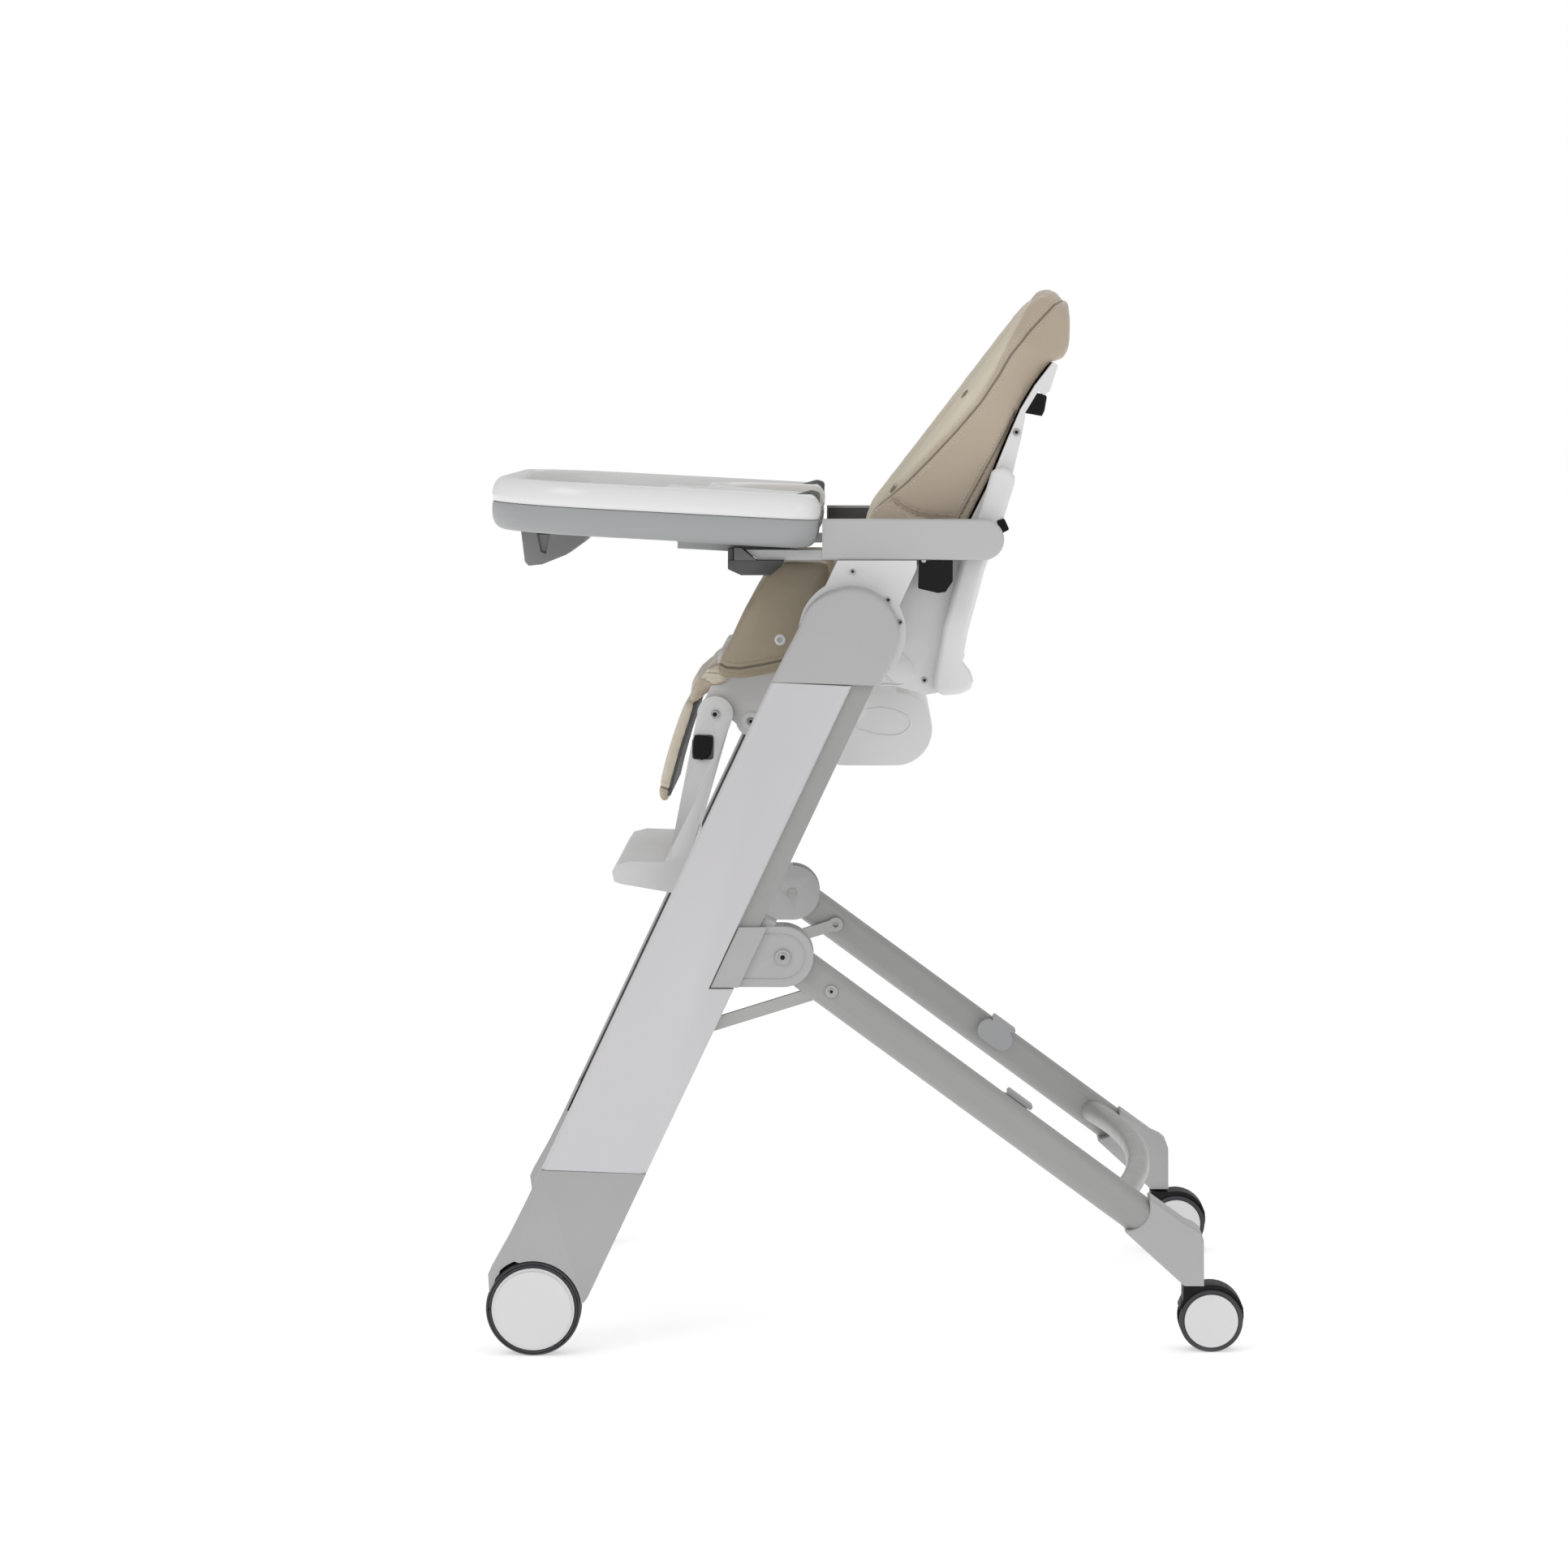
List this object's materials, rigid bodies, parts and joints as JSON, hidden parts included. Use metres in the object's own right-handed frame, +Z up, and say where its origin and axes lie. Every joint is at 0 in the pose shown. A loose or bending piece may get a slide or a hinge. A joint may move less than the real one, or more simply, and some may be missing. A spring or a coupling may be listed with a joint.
{
  "type": "folding high chair",
  "caption": "Folding baby high chair with leaning front legs, castored rear legs, a reclining padded seat, a leg rest and a removable tray.",
  "frame": {"origin": "on the floor, midway between the tray's front edge and the castors' back, mid-width", "axes": "+Z up; -X is the way the child faces; -Y is the child's left; the width is along Y"},
  "size_m": [0.7532, 0.586, 1.057],
  "materials": {
    "rail_grey": "satin grey paint on steel tube",
    "cover_silver": "smooth satin light grey",
    "cap_grey": "satin mid grey, fine grain",
    "tyre_dark": "dull dark rubber",
    "shell_white": "satin off-white",
    "black_plastic": "fine-grained black",
    "steel": "zinc-plated steel",
    "armrest_grey": "satin grey",
    "tray_grey": "satin grey",
    "lever_grey": "satin grey",
    "liner_black": "matte black",
    "pad_leather": "smooth wipe-clean taupe and cream",
    "strap_grey": "woven webbing",
    "tray_white": "glossy white"
  },
  "bodies": {
    "front_frame": {"front_leg_left": "rail_grey", "front_leg_right": "rail_grey", "leg_cover_left": "cover_silver", "leg_cover_right": "cover_silver", "leg_top_cap_left": "cap_grey", "leg_top_cap_right": "cap_grey", "leg_foot_left": "cap_grey", "leg_foot_right": "cap_grey", "front_cross_tube": "rail_grey", "front_axles": "steel", "strut_pins": "steel"},
    "front_wheel_left": {"front_tyre_left": "tyre_dark", "front_hub_left": "shell_white"},
    "front_wheel_right": {"front_tyre_right": "tyre_dark", "front_hub_right": "shell_white"},
    "fold_sliders": {"fold_slider_left": "cap_grey", "fold_slider_right": "cap_grey", "hub_pins": "steel"},
    "rear_legs": {"rear_leg_left": "rail_grey", "rear_leg_right": "rail_grey", "rear_cross_tube": "rail_grey", "rear_foot_left": "cap_grey", "rear_foot_right": "cap_grey", "tray_hooks": "tray_grey", "strut_rivets": "steel"},
    "strut_left": {"fold_strut_left": "steel"},
    "strut_right": {"fold_strut_right": "steel"},
    "castor_left": {"castor_hood_left": "black_plastic"},
    "castor_right": {"castor_hood_right": "black_plastic"},
    "castor_wheels_left": {"castor_tyres_left": "tyre_dark", "castor_hubs_left": "shell_white"},
    "castor_wheels_right": {"castor_tyres_right": "tyre_dark", "castor_hubs_right": "shell_white"},
    "seat_carrier": {"seat_carrier_left": "shell_white", "seat_carrier_right": "shell_white", "carrier_tie_tube": "rail_grey", "armrest_left": "armrest_grey", "armrest_right": "armrest_grey", "armrest_liners": "liner_black", "carrier_screws": "steel"},
    "height_lever_left": {"height_lever_left": "black_plastic"},
    "height_lever_right": {"height_lever_right": "black_plastic"},
    "backrest": {"backrest_arm_left": "shell_white", "backrest_arm_right": "shell_white", "backrest_shell": "shell_white", "backrest_pad": "pad_leather", "backrest_screws": "steel", "shoulder_straps": "strap_grey"},
    "recline_handle": {"recline_handle": "black_plastic"},
    "seat": {"seat_pan": "shell_white", "seat_cushion": "pad_leather", "crotch_strap": "strap_grey", "harness_buckle": "black_plastic"},
    "leg_rest": {"leg_rest_frame": "shell_white", "calf_pad": "pad_leather"},
    "leg_rest_button_left": {"leg_rest_button_left": "black_plastic"},
    "leg_rest_button_right": {"leg_rest_button_right": "black_plastic"},
    "tray": {"tray_base": "tray_grey"},
    "tray_insert": {"tray_top": "tray_white"},
    "tray_lever": {"tray_lever": "lever_grey"}
  },
  "joints": [
    {"name": "front_wheel_left_spin", "type": "hinge", "parent": "front_frame", "child": "front_wheel_left", "pos_m": [-0.329, -0.276, 0.047], "axis": [0, 1, 0], "continuous": true},
    {"name": "front_wheel_right_spin", "type": "hinge", "parent": "front_frame", "child": "front_wheel_right", "pos_m": [-0.329, 0.276, 0.047], "axis": [0, 1, 0], "continuous": true},
    {"name": "fold_slide", "type": "slide", "parent": "front_frame", "child": "fold_sliders", "axis": [0.4258, 0, 0.9048], "range_m": [0, 0.0789]},
    {"name": "fold", "type": "hinge", "parent": "fold_sliders", "child": "rear_legs", "pos_m": [-0.082, 0, 0.398], "axis": [0, 1, 0], "range_deg": [0, 72]},
    {"name": "strut_left_swing", "type": "hinge", "parent": "front_frame", "child": "strut_left", "pos_m": [-0.1733, -0.248, 0.3191], "axis": [0, 1, 0], "range_deg": [-25.3, 0]},
    {"name": "castor_left_swivel", "type": "hinge", "parent": "rear_legs", "child": "castor_left", "pos_m": [0.326, -0.246, 0.08], "axis": [0, 0, 1], "continuous": true},
    {"name": "castor_left_roll", "type": "hinge", "parent": "castor_left", "child": "castor_wheels_left", "pos_m": [0.3436, -0.246, 0.0315], "axis": [0, 1, 0], "continuous": true},
    {"name": "strut_right_swing", "type": "hinge", "parent": "front_frame", "child": "strut_right", "pos_m": [-0.1733, 0.248, 0.3191], "axis": [0, 1, 0], "range_deg": [-25.3, 0]},
    {"name": "castor_right_swivel", "type": "hinge", "parent": "rear_legs", "child": "castor_right", "pos_m": [0.326, 0.246, 0.08], "axis": [0, 0, 1], "continuous": true},
    {"name": "castor_right_roll", "type": "hinge", "parent": "castor_right", "child": "castor_wheels_right", "pos_m": [0.3436, 0.246, 0.0315], "axis": [0, 1, 0], "continuous": true},
    {"name": "seat_height", "type": "slide", "parent": "front_frame", "child": "seat_carrier", "axis": [-0.4258, 0, -0.9048], "range_m": [0, 0.32]},
    {"name": "height_lever_left_tilt", "type": "hinge", "parent": "seat_carrier", "child": "height_lever_left", "pos_m": [0.056, -0.227, 0.786], "axis": [0, 1, 0], "range_deg": [-10, 0], "stiffness_Nm_per_rad": 0.5},
    {"name": "height_lever_right_tilt", "type": "hinge", "parent": "seat_carrier", "child": "height_lever_right", "pos_m": [0.056, 0.227, 0.786], "axis": [0, 1, 0], "range_deg": [-10, 0], "stiffness_Nm_per_rad": 0.5},
    {"name": "recline", "type": "hinge", "parent": "seat_carrier", "child": "backrest", "pos_m": [-0.008, 0, 0.723], "axis": [0, 1, 0], "range_deg": [0, 42]},
    {"name": "recline_handle_pull", "type": "slide", "parent": "backrest", "child": "recline_handle", "axis": [0.6088, 0, 0.7934], "range_m": [0, 0.01], "stiffness_N_per_m": 300},
    {"name": "seat_swing", "type": "hinge", "parent": "backrest", "child": "seat", "pos_m": [-0.0137, 0, 0.6352], "axis": [0, 1, 0], "range_deg": [-42, 0]},
    {"name": "leg_rest_lift", "type": "hinge", "parent": "seat", "child": "leg_rest", "pos_m": [-0.1526, 0, 0.6277], "axis": [0, 1, 0], "range_deg": [0, 72]},
    {"name": "leg_rest_button_left_press", "type": "slide", "parent": "leg_rest", "child": "leg_rest_button_left", "axis": [0, 1, 0], "range_m": [0, 0.003], "stiffness_N_per_m": 300},
    {"name": "leg_rest_button_right_press", "type": "slide", "parent": "leg_rest", "child": "leg_rest_button_right", "axis": [0, -1, 0], "range_m": [0, 0.003], "stiffness_N_per_m": 300},
    {"name": "tray_reach", "type": "slide", "parent": "seat_carrier", "child": "tray", "axis": [-0.9986, 0, 0.0523], "range_m": [0, 0.06]},
    {"name": "tray_insert_lift", "type": "slide", "parent": "tray", "child": "tray_insert", "axis": [0.0523, 0, 0.9986], "range_m": [0, 0.1]},
    {"name": "tray_lever_pull", "type": "slide", "parent": "tray", "child": "tray_lever", "axis": [-1, 0, 0], "range_m": [0, 0.01], "stiffness_N_per_m": 400}
  ],
  "couplings": [
    {"joint": "fold_slide", "follows": "fold", "m_per_rad": 0.06274},
    {"joint": "strut_left_swing", "follows": "fold", "ratio": -0.3508},
    {"joint": "strut_right_swing", "follows": "fold", "ratio": -0.3508},
    {"joint": "seat_swing", "follows": "recline", "ratio": -1}
  ]
}
